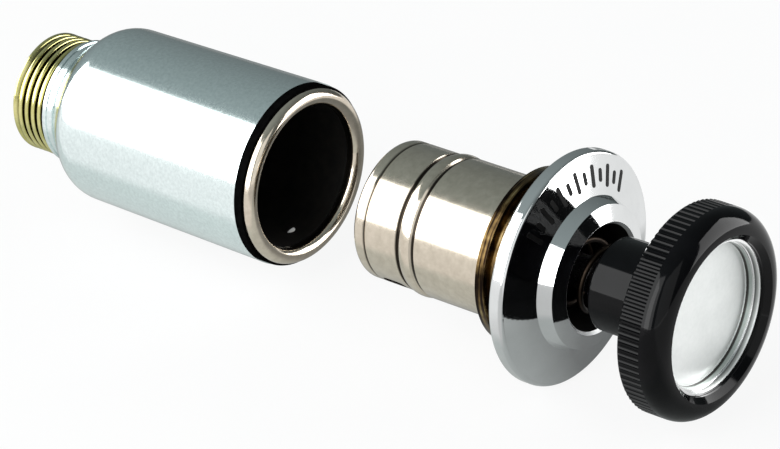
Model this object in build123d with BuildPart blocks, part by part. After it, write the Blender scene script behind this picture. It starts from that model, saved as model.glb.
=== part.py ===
from build123d import *
import os
from math import cos, radians, sin

# Car lighter socket with its lighter plug drawn out of it, in millimetres.
# Both share the Y axis: depth grows along +Y, into the dashboard, and the front faces -Y.
# Y is 0 on the rear face of the socket's rim, which rests on the dashboard panel.

# Fits between pieces
slide_fit = 0.3
seat_fit = 0.05

# Socket well
bore_diameter = 21.4
bore_depth = 25.5
chamber_step = 0.7
chamber_depth = 9.0
well_wall = 0.7
rim_overhang = 1.7
rim_edge = 0.2
detent_height = 0.2
detent_radius = 2.2
detent_depth = 4.1
detent_count = 3
detent_angle = -80

# Clamp sleeve and gasket
gasket_thickness = 1.2
gasket_overhang = 0.35
sleeve_gap = 1.0
sleeve_wall = 0.8
sleeve_draft = 0.4
shoulder_lag = 0.5
shoulder_depth = 4.9
shoulder_round = 5.0
neck_wall = 0.35
neck_groove = 0.15
neck_bead = 0.8

# Threaded tail
tail_diameter = 18.0
tail_length = 13.7
tail_wall = 1.4
tail_web = 0.9
thread_depth = 0.45
thread_showing = 6.4
thread_fit = 0.1

# Centre contact
stud_diameter = 4.0
stud_head_diameter = 7.2
stud_head = 0.8
bush_wall = 1.0
mica_thickness = 0.7
rear_insulator_thickness = 2.2
rear_insulator_ledge = 0.8
rear_insulator_recess = 0.8
washer_diameter = 8.0
washer_thickness = 0.9
nut_across_flats = 7.0
nut_height = 2.6
stud_end = 0.9

# Clip that grips the heating element
clip_sheet = 0.4
clip_finger_count = 4
clip_slot_width = 5.6
clip_base_diameter = 10.4
clip_finger_length = 6.8
clip_finger_flare = 0.5

# Plug: where it stands, and its barrel
pull_out = 39.75
barrel_diameter = 20.5
barrel_length = 23.65
barrel_wall = 0.5
heel_step = 0.15
heel_length = 8.5
heel_roll = 0.8
heel_lip = 0.3
heel_seam = 2.05
heel_seam_depth = 0.15
rib_width = 1.7
rib_rise = 0.17
groove_width = 0.6
groove_depth = 0.3
flange_overhang = 1.4
slot_length = 4.0
slot_width = 2.2
slot_angle = -130

# Collar and bezel
collar_length = 5.4
collar_overhang = 2.4
collar_lip = 1.4
collar_groove_depth = 0.9
bezel_diameter = 33.7
bezel_edge = 2.3
bezel_edge_round = 0.6
bezel_face_rise = 1.6
boss_diameter = 22.1
boss_height = 2.05
boss_draft = 0.7
boss_crown = 0.8
bezel_bore = 15.4
bezel_bore_bevel = 0.4
bezel_back_recess = 0.9
bezel_back_rim = 1.2

# Knob
knob_gap = 13.25
knob_diameter = 30.1
knob_band = 3.6
knob_chamfer = 0.3
knob_nose = 3.1
knob_lip = 0.8
knob_rib_count = 92
knob_rib_depth = 0.3
knob_rib_share = 0.25
hub_diameter = 13.4
hub_length = 11.1
hub_round = 0.6
dish_diameter = 22.0
dish_depth = 3.7
dish_sheet = 0.4
dish_floor_inset = 0.7
dish_step = 1.1

# Plunger, spring and heating element
press_travel = 10.0
shaft_diameter = 5.0
shaft_grip = 7.0
guide_thickness = 4.5
guide_setback = 7.1
guide_dish = 1.0
stop_diameter = 9.0
stop_thickness = 0.9
spring_diameter = 10.6
spring_wire = 0.9
spring_turns = 6
cup_diameter = 14.0
cup_length = 5.2
cup_wall = 0.45
cup_setback = 0.5
element_insulator_thickness = 0.8
coil_ribbon = 0.3
coil_height = 1.6
coil_pitch = 0.9
rivet_diameter = 2.4
rivet_shank_diameter = 1.6
rivet_grip = 2.0

# Radii and places worked out from these
bore_r = bore_diameter / 2
well_r = bore_r + well_wall
chamber_r = bore_r - chamber_step
chamber_outer_r = chamber_r + well_wall
floor_y = bore_depth + chamber_depth
base_y = floor_y + well_wall
rim_r = well_r + rim_overhang
rim_bead = (rim_r - bore_r) / 2
rim_front_y = -rim_edge - rim_bead

sleeve_inner_r = well_r + sleeve_gap
sleeve_r = sleeve_inner_r + sleeve_wall
sleeve_mouth_r = sleeve_r + sleeve_draft
shoulder_y = base_y + shoulder_lag
tail_r = tail_diameter / 2
tail_end_y = base_y + tail_length
neck_bore_r = tail_r + thread_fit
neck_r = neck_bore_r + neck_wall
neck_y = shoulder_y + shoulder_depth
neck_end_y = tail_end_y - thread_showing

stud_r = stud_diameter / 2
bush_r = stud_r + seat_fit + bush_wall
clip_back_y = floor_y - mica_thickness
clip_front_y = clip_back_y - clip_sheet
tail_bore_r = tail_r - tail_wall
rear_pocket_r = tail_bore_r + rear_insulator_ledge
rear_face_y = tail_end_y - rear_insulator_recess
rear_front_y = rear_face_y - rear_insulator_thickness
nut_y = rear_face_y + washer_thickness

seat_y = rim_front_y - pull_out
barrel_r = barrel_diameter / 2
barrel_inner_r = barrel_r - barrel_wall
heel_r = barrel_r - heel_step
heel_inner_r = heel_r - barrel_wall
barrel_end_y = seat_y + barrel_length
seam_y = barrel_end_y - heel_seam
rib_end_y = barrel_end_y - heel_length
rib_y = rib_end_y - rib_width
rib_r = barrel_r + rib_rise
bezel_back_y = seat_y - collar_length
flange_r = barrel_r + flange_overhang
collar_r = barrel_r + collar_overhang

bezel_r = bezel_diameter / 2
bezel_edge_y = bezel_back_y - bezel_edge
boss_r = boss_diameter / 2
boss_foot_y = bezel_edge_y - bezel_face_rise
boss_y = boss_foot_y - boss_height
boss_top_y = boss_y - boss_crown
bezel_bore_r = bezel_bore / 2

knob_r = knob_diameter / 2
knob_back_y = boss_top_y - knob_gap
hub_r = hub_diameter / 2
hub_y = knob_back_y + hub_length
band_y = knob_back_y - knob_band
nose_y = band_y - knob_nose
dish_r = dish_diameter / 2
dish_mouth_y = nose_y + knob_lip
dish_floor_y = nose_y + dish_depth

shaft_r = shaft_diameter / 2
guide_front_y = seat_y + guide_setback
guide_back_y = guide_front_y + guide_thickness
spring_r = (spring_diameter - spring_wire) / 2
cup_r = cup_diameter / 2
cup_end_y = barrel_end_y - cup_setback
cup_front_y = cup_end_y - cup_length
element_y = cup_front_y + cup_wall + element_insulator_thickness
rivet_r = rivet_diameter / 2
rivet_shank_r = rivet_shank_diameter / 2

os.makedirs("parts", exist_ok=True)

# Socket well: a drawn cup with a half-round rim, a narrower bottom and pressed detents
with BuildPart() as socket_well:
    with BuildSketch():
        with BuildLine():
            Polyline(
                (bore_r, -rim_edge),
                (bore_r, bore_depth),
                (chamber_r, bore_depth),
                (chamber_r, floor_y),
                (bush_r + seat_fit, floor_y),
                (bush_r + seat_fit, base_y),
                (chamber_outer_r, base_y),
                (chamber_outer_r, bore_depth + well_wall),
                (well_r, bore_depth + well_wall),
                (well_r, 0),
                (rim_r, 0),
                (rim_r, -rim_edge),
            )
            ThreePointArc((rim_r, -rim_edge), (bore_r + rim_bead, rim_front_y), (bore_r, -rim_edge))
        make_face()
    revolve(axis=Axis.Y)
    detent_plane = Plane.XZ.offset(-detent_depth)
    detent_centre_r = bore_r - detent_height + detent_radius
    with Locations(detent_plane):
        with PolarLocations(detent_centre_r, detent_count, start_angle=detent_angle):
            Sphere(detent_radius)
    with BuildSketch(detent_plane.offset(-detent_radius)):
        Circle(detent_centre_r + detent_radius + slide_fit)
        Circle(well_r, mode=Mode.SUBTRACT)
    extrude(amount=2 * detent_radius, mode=Mode.SUBTRACT)
    with Locations(detent_plane):
        with PolarLocations(detent_centre_r, detent_count, start_angle=detent_angle):
            Sphere(detent_radius - well_wall, mode=Mode.SUBTRACT)
socket_well.part.label = "socket_well"
export_step(socket_well.part, "parts/socket_well.step")

# Panel gasket: a flat ring behind the rim
with BuildPart() as panel_gasket:
    with BuildSketch(Plane.XZ):
        Circle(rim_r + gasket_overhang)
        Circle(well_r + seat_fit, mode=Mode.SUBTRACT)
    extrude(amount=-gasket_thickness)
panel_gasket.part.label = "panel_gasket"
export_step(panel_gasket.part, "parts/panel_gasket.step")

# Clamp sleeve: a drawn shell that screws up the tail and presses the panel against the rim
shoulder_slope = (sleeve_r - neck_r) / shoulder_depth
shoulder_inner_y = neck_y - (sleeve_inner_r - neck_bore_r) / shoulder_slope
with BuildPart() as clamp_sleeve:
    with BuildSketch() as sleeve_section:
        with BuildLine():
            Polyline(
                (sleeve_inner_r, gasket_thickness),
                (sleeve_mouth_r, gasket_thickness),
                (sleeve_r, shoulder_y),
                (neck_r, neck_y),
                (neck_r, neck_end_y - 2 * neck_bead),
                (neck_r - neck_groove, neck_end_y - 2 * neck_bead),
                (neck_r - neck_groove, neck_end_y - neck_bead),
                (neck_r, neck_end_y - neck_bead),
                (neck_r, neck_end_y - neck_groove),
                (neck_r - neck_groove, neck_end_y),
                (neck_bore_r, neck_end_y),
                (neck_bore_r, neck_y - sleeve_wall / 2),
                (sleeve_inner_r, shoulder_inner_y - sleeve_wall / 2),
                close=True,
            )
        make_face()
        outer_corner = sleeve_section.vertices().sort_by(Axis.X)[-2:].sort_by(Axis.Y)[-1]
        fillet(outer_corner, radius=shoulder_round)
    revolve(axis=Axis.Y)
clamp_sleeve.part.label = "clamp_sleeve"
export_step(clamp_sleeve.part, "parts/clamp_sleeve.step")

# Threaded tail: a ferrule fixed to the bottom of the well, with a rolled thread
with BuildPart() as threaded_tail:
    with BuildSketch():
        with BuildLine():
            Polyline(
                (bush_r + seat_fit, base_y),
                (tail_r - thread_depth, base_y),
                (tail_r, base_y + thread_depth),
                (tail_r, tail_end_y - thread_depth),
                (tail_r - thread_depth, tail_end_y),
                (rear_pocket_r, tail_end_y),
                (rear_pocket_r, rear_front_y),
                (tail_bore_r, rear_front_y),
                (tail_bore_r, base_y + tail_web),
                (bush_r + seat_fit, base_y + tail_web),
                close=True,
            )
        make_face()
    revolve(axis=Axis.Y)
threaded_tail.part.label = "threaded_tail"
export_step(threaded_tail.part, "parts/threaded_tail.step")

# Front insulator: a mica washer under the clip with a bush through the well and the tail
with BuildPart() as clip_insulator:
    with BuildSketch():
        with BuildLine():
            Polyline(
                (stud_r + seat_fit, clip_back_y),
                (chamber_r - slide_fit, clip_back_y),
                (chamber_r - slide_fit, floor_y),
                (bush_r, floor_y),
                (bush_r, base_y + tail_web),
                (stud_r + seat_fit, base_y + tail_web),
                close=True,
            )
        make_face()
    revolve(axis=Axis.Y)
clip_insulator.part.label = "clip_insulator"
export_step(clip_insulator.part, "parts/clip_insulator.step")

# Bimetal clip: a pressed disc with fingers that stand around the pushed-in heating element
finger_inner_r = cup_r + slide_fit
finger_outer_r = finger_inner_r + clip_sheet
finger_tip_y = clip_back_y - clip_finger_length
with BuildPart() as bimetal_clip:
    with BuildSketch():
        with BuildLine():
            Polyline(
                (stud_r + seat_fit, clip_back_y),
                (finger_outer_r, clip_back_y),
                (finger_outer_r, finger_tip_y + clip_finger_flare),
                (finger_outer_r + clip_finger_flare, finger_tip_y),
                (finger_inner_r + clip_finger_flare, finger_tip_y),
                (finger_inner_r, finger_tip_y + clip_finger_flare),
                (finger_inner_r, clip_front_y),
                (stud_r + seat_fit, clip_front_y),
                close=True,
            )
        make_face()
    revolve(axis=Axis.Y)
    slot_reach = finger_outer_r + 2 * clip_finger_flare - clip_base_diameter / 2
    with BuildSketch(Plane.XZ.offset(-clip_back_y)):
        with PolarLocations(clip_base_diameter / 2 + slot_reach / 2, clip_finger_count, start_angle=45):
            Rectangle(slot_reach, clip_slot_width)
    extrude(amount=clip_finger_length, mode=Mode.SUBTRACT)
bimetal_clip.part.label = "bimetal_clip"
export_step(bimetal_clip.part, "parts/bimetal_clip.step")

# Rear insulator: a disc on a ledge inside the end of the tail
with BuildPart() as rear_insulator:
    with BuildSketch(Plane.XZ.offset(-rear_front_y)):
        Circle(rear_pocket_r - seat_fit)
        Circle(stud_r + seat_fit, mode=Mode.SUBTRACT)
    extrude(amount=-rear_insulator_thickness)
rear_insulator.part.label = "rear_insulator"
export_step(rear_insulator.part, "parts/rear_insulator.step")

# Centre stud: carries the current from the terminal to the clip
stud_tip_y = nut_y + nut_height + stud_end
with BuildPart() as centre_stud:
    with BuildSketch():
        with BuildLine():
            Polyline(
                (0, clip_front_y - stud_head),
                (stud_head_diameter / 2 - stud_head / 2, clip_front_y - stud_head),
                (stud_head_diameter / 2, clip_front_y - stud_head / 2),
                (stud_head_diameter / 2, clip_front_y),
                (stud_r, clip_front_y),
                (stud_r, stud_tip_y - stud_r / 4),
                (stud_r - stud_r / 4, stud_tip_y),
                (0, stud_tip_y),
                close=True,
            )
        make_face()
    revolve(axis=Axis.Y)
centre_stud.part.label = "centre_stud"
export_step(centre_stud.part, "parts/centre_stud.step")

# Lock washer under the terminal nut
with BuildPart() as lock_washer:
    with BuildSketch(Plane.XZ.offset(-rear_face_y)):
        Circle(washer_diameter / 2)
        Circle(stud_r + seat_fit, mode=Mode.SUBTRACT)
        with Locations((0, (stud_r + washer_diameter / 2) / 2)):
            Rectangle(washer_thickness, washer_diameter / 2, mode=Mode.SUBTRACT)
    extrude(amount=-washer_thickness)
lock_washer.part.label = "lock_washer"
export_step(lock_washer.part, "parts/lock_washer.step")

# Terminal nut: a hexagon with chamfered corners
nut_corner_r = nut_across_flats / 2 / cos(radians(30))
nut_chamfer = (nut_corner_r - nut_across_flats / 2) * 1.2
with BuildPart() as terminal_nut:
    with BuildSketch(Plane.XZ.offset(-nut_y)):
        RegularPolygon(nut_corner_r, 6)
        Circle(stud_r + seat_fit, mode=Mode.SUBTRACT)
    extrude(amount=-nut_height)
    with BuildSketch():
        with BuildLine():
            Polyline(
                (nut_corner_r + seat_fit, nut_y + nut_height - nut_chamfer / 2),
                (nut_corner_r + seat_fit, nut_y + nut_height),
                (nut_corner_r - nut_chamfer, nut_y + nut_height),
                close=True,
            )
        make_face()
    revolve(axis=Axis.Y, mode=Mode.SUBTRACT)
terminal_nut.part.label = "terminal_nut"
export_step(terminal_nut.part, "parts/terminal_nut.step")

# Plug barrel: a drawn tube with a rolled heel, a rib between two grooves and a front flange
roll_y = barrel_end_y - heel_roll
roll_r = heel_r - heel_roll
with BuildPart() as plug_barrel:
    with BuildSketch():
        with BuildLine():
            Polyline(
                (roll_r, barrel_end_y - barrel_wall),
                (roll_r - heel_lip, barrel_end_y - barrel_wall),
                (roll_r - heel_lip, barrel_end_y),
                (roll_r, barrel_end_y),
            )
            TangentArc((roll_r, barrel_end_y), (heel_r, roll_y), tangent=(1, 0))
            Polyline(
                (heel_r, roll_y),
                (heel_r, seam_y + groove_width / 2),
                (heel_r - heel_seam_depth, seam_y),
                (heel_r, seam_y - groove_width / 2),
                (heel_r, rib_end_y + 1.5 * groove_width),
                (heel_r - groove_depth, rib_end_y + groove_width),
                (heel_r - groove_depth, rib_end_y + groove_width / 2),
                (barrel_r, rib_end_y),
            )
            ThreePointArc((barrel_r, rib_end_y), (rib_r, (rib_end_y + rib_y) / 2), (barrel_r, rib_y))
            Polyline(
                (barrel_r, rib_y),
                (barrel_r - groove_depth, rib_y - groove_width / 2),
                (barrel_r - groove_depth, rib_y - groove_width),
                (barrel_r, rib_y - 1.5 * groove_width),
                (barrel_r, bezel_back_y + barrel_wall),
                (flange_r, bezel_back_y + barrel_wall),
                (flange_r, bezel_back_y),
                (barrel_inner_r, bezel_back_y),
                (barrel_inner_r, rib_y - 1.5 * groove_width - barrel_wall),
                (barrel_inner_r - groove_depth, rib_y - groove_width),
                (barrel_inner_r - groove_depth, rib_y),
                (barrel_inner_r, rib_y + groove_width),
                (barrel_inner_r, rib_end_y - groove_width),
                (heel_inner_r - groove_depth, rib_end_y + groove_width / 2),
                (heel_inner_r - groove_depth, rib_end_y + groove_width),
                (heel_inner_r, rib_end_y + 1.5 * groove_width + barrel_wall),
                (heel_inner_r, roll_y),
            )
            TangentArc((heel_inner_r, roll_y), (roll_r, barrel_end_y - barrel_wall), tangent=(0, 1))
        make_face()
    revolve(axis=Axis.Y)
    slot_plane = Plane(origin=(0, (seam_y + rib_end_y + groove_width) / 2, 0), x_dir=(0, 1, 0),
                       z_dir=(cos(radians(slot_angle)), 0, sin(radians(slot_angle))))
    with BuildSketch(slot_plane):
        SlotOverall(slot_length, slot_width)
    extrude(amount=barrel_r + barrel_wall, mode=Mode.SUBTRACT)
plug_barrel.part.label = "plug_barrel"
export_step(plug_barrel.part, "parts/plug_barrel.step")

# Retaining collar: two lips with a groove between them, seated behind the bezel
collar_groove_r = collar_r - collar_groove_depth
with BuildPart() as retaining_collar:
    with BuildSketch() as collar_section:
        with BuildLine():
            Polyline(
                (barrel_r + seat_fit, seat_y),
                (collar_r, seat_y),
                (collar_r, seat_y - collar_lip),
                (collar_groove_r, seat_y - collar_lip - collar_groove_depth / 2),
                (collar_groove_r, seat_y - collar_lip - collar_groove_depth),
                (collar_r, seat_y - collar_lip - 1.5 * collar_groove_depth),
                (collar_r, bezel_back_y),
                (flange_r + seat_fit, bezel_back_y),
                (flange_r + seat_fit, bezel_back_y + barrel_wall),
                (barrel_r + seat_fit, bezel_back_y + barrel_wall),
                close=True,
            )
        make_face()
    revolve(axis=Axis.Y)
retaining_collar.part.label = "retaining_collar"
export_step(retaining_collar.part, "parts/retaining_collar.step")

# Bezel: a cast ring with a rounded edge, a coned face and a raised boss round its bore
with BuildPart() as bezel:
    with BuildSketch() as bezel_section:
        with BuildLine():
            Polyline(
                (bezel_bore_r, bezel_back_y),
                (collar_r, bezel_back_y),
                (collar_r, bezel_back_y - bezel_back_recess),
                (bezel_r - bezel_back_rim, bezel_back_y - bezel_back_recess),
                (bezel_r - bezel_back_rim, bezel_back_y),
                (bezel_r - bezel_edge_round, bezel_back_y),
            )
            TangentArc(
                (bezel_r - bezel_edge_round, bezel_back_y),
                (bezel_r, bezel_back_y - bezel_edge_round),
                tangent=(1, 0),
            )
            Polyline(
                (bezel_r, bezel_back_y - bezel_edge_round),
                (bezel_r, bezel_edge_y + bezel_edge_round),
            )
            TangentArc(
                (bezel_r, bezel_edge_y + bezel_edge_round),
                (bezel_r - bezel_edge_round, bezel_edge_y),
                tangent=(0, -1),
            )
            Polyline(
                (bezel_r - bezel_edge_round, bezel_edge_y),
                (boss_r, boss_foot_y),
                (boss_r - boss_draft, boss_y),
                (bezel_bore_r + bezel_bore_bevel, boss_top_y),
                (bezel_bore_r, boss_top_y + bezel_bore_bevel),
                (bezel_bore_r, bezel_back_y),
            )
        make_face()
    revolve(axis=Axis.Y)
bezel.part.label = "bezel"
export_step(bezel.part, "parts/bezel.step")

# Guide bush: fixed in the barrel, carries the shaft and the foot of the return spring
with BuildPart() as guide_bush:
    with BuildSketch():
        with BuildLine():
            Polyline(
                (shaft_r + slide_fit / 2, guide_front_y + guide_dish),
                (spring_diameter / 2 + slide_fit, guide_front_y + guide_dish),
                (spring_diameter / 2 + slide_fit, guide_front_y),
                (barrel_inner_r - seat_fit, guide_front_y),
                (barrel_inner_r - seat_fit, guide_back_y),
                (shaft_r + slide_fit / 2, guide_back_y),
                close=True,
            )
        make_face()
    revolve(axis=Axis.Y)
guide_bush.part.label = "guide_bush"
export_step(guide_bush.part, "parts/guide_bush.step")

# Knob: a moulded grip with a ribbed band, a rounded nose, a dished front and a hub behind
with BuildPart() as knob:
    with BuildSketch() as knob_section:
        with BuildLine():
            Polyline(
                (0, hub_y - shaft_grip),
                (shaft_r + seat_fit, hub_y - shaft_grip),
                (shaft_r + seat_fit, hub_y),
                (hub_r - hub_round, hub_y),
            )
            TangentArc((hub_r - hub_round, hub_y), (hub_r, hub_y - hub_round), tangent=(1, 0))
            Polyline(
                (hub_r, hub_y - hub_round),
                (hub_r, knob_back_y),
                (knob_r - knob_chamfer, knob_back_y),
                (knob_r, knob_back_y - knob_chamfer),
                (knob_r, band_y),
            )
            EllipticalCenterArc(
                (dish_r + knob_lip, band_y),
                knob_r - dish_r - knob_lip,
                knob_nose,
                start_angle=270,
                arc_size=90,
            )
            Line((dish_r + knob_lip, nose_y), (dish_r, dish_mouth_y))
            Polyline((dish_r, dish_mouth_y), (dish_r, dish_floor_y), (0, dish_floor_y), (0, hub_y - shaft_grip))
        make_face()
    revolve(axis=Axis.Y)
    groove_half = knob_r * sin(radians(180 / knob_rib_count)) * (1 - knob_rib_share)
    groove_lift = (groove_half**2 / knob_rib_depth - knob_rib_depth) / 2
    with BuildSketch(Plane.XZ.offset(-knob_back_y)):
        with PolarLocations(knob_r + groove_lift, knob_rib_count):
            Circle(groove_lift + knob_rib_depth)
    extrude(amount=knob_band, mode=Mode.SUBTRACT)
knob.part.label = "knob"
export_step(knob.part, "parts/knob.step")

# Knob dish: a stepped metal pressing set in the front of the knob
dish_floor_r = dish_r - dish_floor_inset
with BuildPart() as knob_dish:
    with BuildSketch():
        with BuildLine():
            Polyline(
                (0, dish_floor_y),
                (dish_r - seat_fit, dish_floor_y),
                (dish_r - seat_fit, dish_mouth_y + dish_sheet),
                (dish_r - dish_sheet, dish_mouth_y + dish_sheet),
                (dish_floor_r + dish_floor_inset / 3, dish_floor_y - dish_sheet - dish_step),
                (dish_floor_r, dish_floor_y - dish_sheet - dish_step),
                (dish_floor_r - dish_sheet / 2, dish_floor_y - dish_sheet),
                (0, dish_floor_y - dish_sheet),
                close=True,
            )
        make_face()
    revolve(axis=Axis.Y)
knob_dish.part.label = "knob_dish"
export_step(knob_dish.part, "parts/knob_dish.step")

# Plunger shaft: joins the knob's hub to the heating element
with BuildPart() as plunger_shaft:
    with BuildSketch():
        with BuildLine():
            Polyline(
                (0, hub_y - shaft_grip + seat_fit),
                (shaft_r, hub_y - shaft_grip + seat_fit),
                (shaft_r, cup_front_y),
                (rivet_shank_r + seat_fit, cup_front_y),
                (rivet_shank_r + seat_fit, cup_front_y - rivet_grip),
                (0, cup_front_y - rivet_grip),
                close=True,
            )
        make_face()
    revolve(axis=Axis.Y)
plunger_shaft.part.label = "plunger_shaft"
export_step(plunger_shaft.part, "parts/plunger_shaft.step")

# Stop ring: a split ring on the shaft that meets the guide bush when the spring has pushed it out
with BuildPart() as stop_ring:
    with BuildSketch(Plane.XZ.offset(-guide_back_y - seat_fit)):
        Circle(stop_diameter / 2)
        Circle(shaft_r + seat_fit / 2, mode=Mode.SUBTRACT)
        with Locations((0, -stop_diameter / 2)):
            Rectangle(shaft_r, stop_diameter - shaft_r, mode=Mode.SUBTRACT)
    extrude(amount=-stop_thickness)
stop_ring.part.label = "stop_ring"
export_step(stop_ring.part, "parts/stop_ring.step")

# Return spring: stands on the guide bush and pushes the hub forward
spring_foot_y = guide_front_y + guide_dish - spring_wire / 2 - seat_fit
spring_head_y = hub_y + spring_wire / 2 + seat_fit
spring_height = spring_foot_y - spring_head_y
with BuildPart() as return_spring:
    with BuildLine() as spring_line:
        Helix(
            pitch=spring_height / spring_turns,
            height=spring_height,
            radius=spring_r,
            center=(0, spring_foot_y, 0),
            direction=(0, -1, 0),
        )
    with BuildSketch(Plane(origin=spring_line.line @ 0, z_dir=spring_line.line % 0)):
        Circle(spring_wire / 2)
    sweep(path=spring_line.line, is_frenet=True)
return_spring.part.label = "return_spring"
export_step(return_spring.part, "parts/return_spring.step")

# Element cup: a pressed cup, open to the rear
with BuildPart() as element_cup:
    with BuildSketch():
        with BuildLine():
            Polyline(
                (rivet_shank_r + seat_fit, cup_front_y),
                (cup_r - cup_wall, cup_front_y),
            )
            TangentArc((cup_r - cup_wall, cup_front_y), (cup_r, cup_front_y + cup_wall), tangent=(1, 0))
            Polyline(
                (cup_r, cup_front_y + cup_wall),
                (cup_r, cup_end_y),
                (cup_r - cup_wall, cup_end_y),
                (cup_r - cup_wall, cup_front_y + cup_wall),
                (rivet_shank_r + seat_fit, cup_front_y + cup_wall),
                (rivet_shank_r + seat_fit, cup_front_y),
            )
        make_face()
    revolve(axis=Axis.Y)
element_cup.part.label = "element_cup"
export_step(element_cup.part, "parts/element_cup.step")

# Element insulator: a disc under the coil
with BuildPart() as element_insulator:
    with BuildSketch(Plane.XZ.offset(-cup_front_y - cup_wall)):
        Circle(cup_r - cup_wall - seat_fit)
        Circle(rivet_shank_r + seat_fit, mode=Mode.SUBTRACT)
    extrude(amount=-element_insulator_thickness)
element_insulator.part.label = "element_insulator"
export_step(element_insulator.part, "parts/element_insulator.step")

# Heating coil: a flat ribbon wound on edge, in half turns that each grow by half a pitch
coil_start_r = rivet_r + coil_ribbon
coil_end_r = cup_r - cup_wall - coil_ribbon
coil_half_turns = int(2 * (coil_end_r - coil_start_r) / coil_pitch)
with BuildPart() as heating_coil:
    with BuildSketch(Plane.XZ.offset(-element_y)):
        with BuildLine():
            coil_x = coil_start_r
            for half_turn in range(coil_half_turns):
                side = 1 if half_turn % 2 == 0 else -1
                next_x = -(abs(coil_x) + coil_pitch / 2) * side
                mid_x = (coil_x + next_x) / 2
                reach = abs(coil_x - next_x) / 2
                ThreePointArc((coil_x, 0), (mid_x, side * reach), (next_x, 0))
                coil_x = next_x
        trace(line_width=coil_ribbon)
    extrude(amount=-coil_height)
heating_coil.part.label = "heating_coil"
export_step(heating_coil.part, "parts/heating_coil.step")

# Coil rivet: holds the coil, its insulator and the cup on the end of the shaft
with BuildPart() as coil_rivet:
    with BuildSketch():
        with BuildLine():
            Polyline(
                (0, cup_front_y - rivet_grip + seat_fit),
                (rivet_shank_r, cup_front_y - rivet_grip + seat_fit),
                (rivet_shank_r, element_y),
                (rivet_r, element_y),
                (rivet_r, element_y + coil_height),
                (0, element_y + coil_height),
                close=True,
            )
        make_face()
    revolve(axis=Axis.Y)
coil_rivet.part.label = "coil_rivet"
export_step(coil_rivet.part, "parts/coil_rivet.step")
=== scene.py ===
# %% [markdown]
# # Car lighter socket and its lighter plug
# The object is a lighter socket of an older car, with its lighter plug drawn out in front of it.
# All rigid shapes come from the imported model, which is loaded here as a fixed frame in metres.
# This file gives each piece its finish, adds what is too fine for the solids, and sets the studio.

# %% Load the frame
import bpy
import bmesh
import math
from mathutils import Matrix, Vector


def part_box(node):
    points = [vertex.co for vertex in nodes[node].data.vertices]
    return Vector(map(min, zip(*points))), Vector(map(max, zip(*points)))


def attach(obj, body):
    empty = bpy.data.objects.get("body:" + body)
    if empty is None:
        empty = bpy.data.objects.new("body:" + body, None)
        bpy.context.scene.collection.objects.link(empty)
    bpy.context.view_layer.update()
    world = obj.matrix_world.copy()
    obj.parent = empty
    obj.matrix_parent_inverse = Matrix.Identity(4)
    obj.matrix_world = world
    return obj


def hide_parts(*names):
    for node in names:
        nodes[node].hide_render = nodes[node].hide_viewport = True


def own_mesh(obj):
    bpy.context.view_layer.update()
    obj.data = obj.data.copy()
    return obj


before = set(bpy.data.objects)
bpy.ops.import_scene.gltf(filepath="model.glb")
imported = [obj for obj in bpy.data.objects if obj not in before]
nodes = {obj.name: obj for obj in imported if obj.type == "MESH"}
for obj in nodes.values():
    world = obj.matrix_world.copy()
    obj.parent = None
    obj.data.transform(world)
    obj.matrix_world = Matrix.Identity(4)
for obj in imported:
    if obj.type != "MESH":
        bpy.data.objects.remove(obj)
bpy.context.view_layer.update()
MM = 0.001  # a millimetre in metres, and a micrometre in millimetres

# %% [markdown]
# ## Places read from the frame
# Everything turns about the Y axis, so a node's box gives its radius and its two ends.
# Reading them here keeps the finish in step with the solids.


# %% Radius and ends of a node
def radius_of(node):
    """Outer radius of a node that is turned about Y."""
    low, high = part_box(node)
    return (high[0] - low[0]) / 2


def ends_of(node):
    """Front and rear end of a node along Y."""
    low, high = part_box(node)
    return low[1], high[1]


axis_ends = {name: ends_of(name) for name in nodes}
rest_height = -radius_of("bezel")
print("lowest point", round(rest_height / MM, 2), "mm")

# %% [markdown]
# ## Camera
# The camera stands a little above and to the left of the plug, far off with a long lens, so that
# both cylinders look nearly parallel. Its direction and distance were fitted to the round edges
# in the photograph, so the numbers are angles and millimetres from the mouth of the socket.

# %% Set the camera
camera_azimuth = math.radians(-51.08)
camera_elevation = math.radians(25.43)
camera_right_mm = 12.22
camera_up_mm = -6.88
camera_back_mm = 574.4
focal_pixels = 4000
image_width = 780
sensor_width = 36
mouth_y_mm = -0.5

back = Vector((
    math.sin(camera_azimuth) * math.cos(camera_elevation),
    -math.cos(camera_azimuth) * math.cos(camera_elevation),
    math.sin(camera_elevation),
))
right = Vector((math.cos(camera_azimuth), math.sin(camera_azimuth), 0))
up = back.cross(right)
mouth = Vector((0, mouth_y_mm * MM, 0))
place = mouth + MM * (camera_right_mm * right + camera_up_mm * up + camera_back_mm * back)

camera_data = bpy.data.cameras.new("photo_camera")
camera_data.sensor_width = sensor_width
camera_data.lens = sensor_width * focal_pixels / image_width
camera_data.clip_start = 0.01
camera_data.clip_end = 20
camera = bpy.data.objects.new("photo_camera", camera_data)
turn = Matrix((right, up, back)).transposed().to_4x4()
camera.matrix_world = Matrix.Translation(place) @ turn
bpy.context.scene.collection.objects.link(camera)
bpy.context.scene.camera = camera
print("lens", round(camera_data.lens, 1), "mm")

# %% [markdown]
# ## Studio
# Bright metal shows its surroundings more than its own colour. The photograph's metal tells of
# one wide soft light to the left and behind with a narrow one beside it, a smaller one in front to
# the right, a faint card near the camera and a dim room.
# It also tells of a pale table that is white to the left and in front, grey close to the object and
# dim behind it. The lamps, a floor and a grey world are built here, and the table's tones are painted light
# and painted shadow that only the metal sees.


# %% Node helpers: materials, sums and places
def new_material(name):
    """An empty node material with its output and one shader, ready for the finish."""
    material = bpy.data.materials.new(name)
    material.use_nodes = True
    tree = material.node_tree
    tree.nodes.clear()
    output = tree.nodes.new("ShaderNodeOutputMaterial")
    shader = tree.nodes.new("ShaderNodeBsdfPrincipled")
    tree.links.new(shader.outputs["BSDF"], output.inputs["Surface"])
    return material, tree, shader


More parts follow.
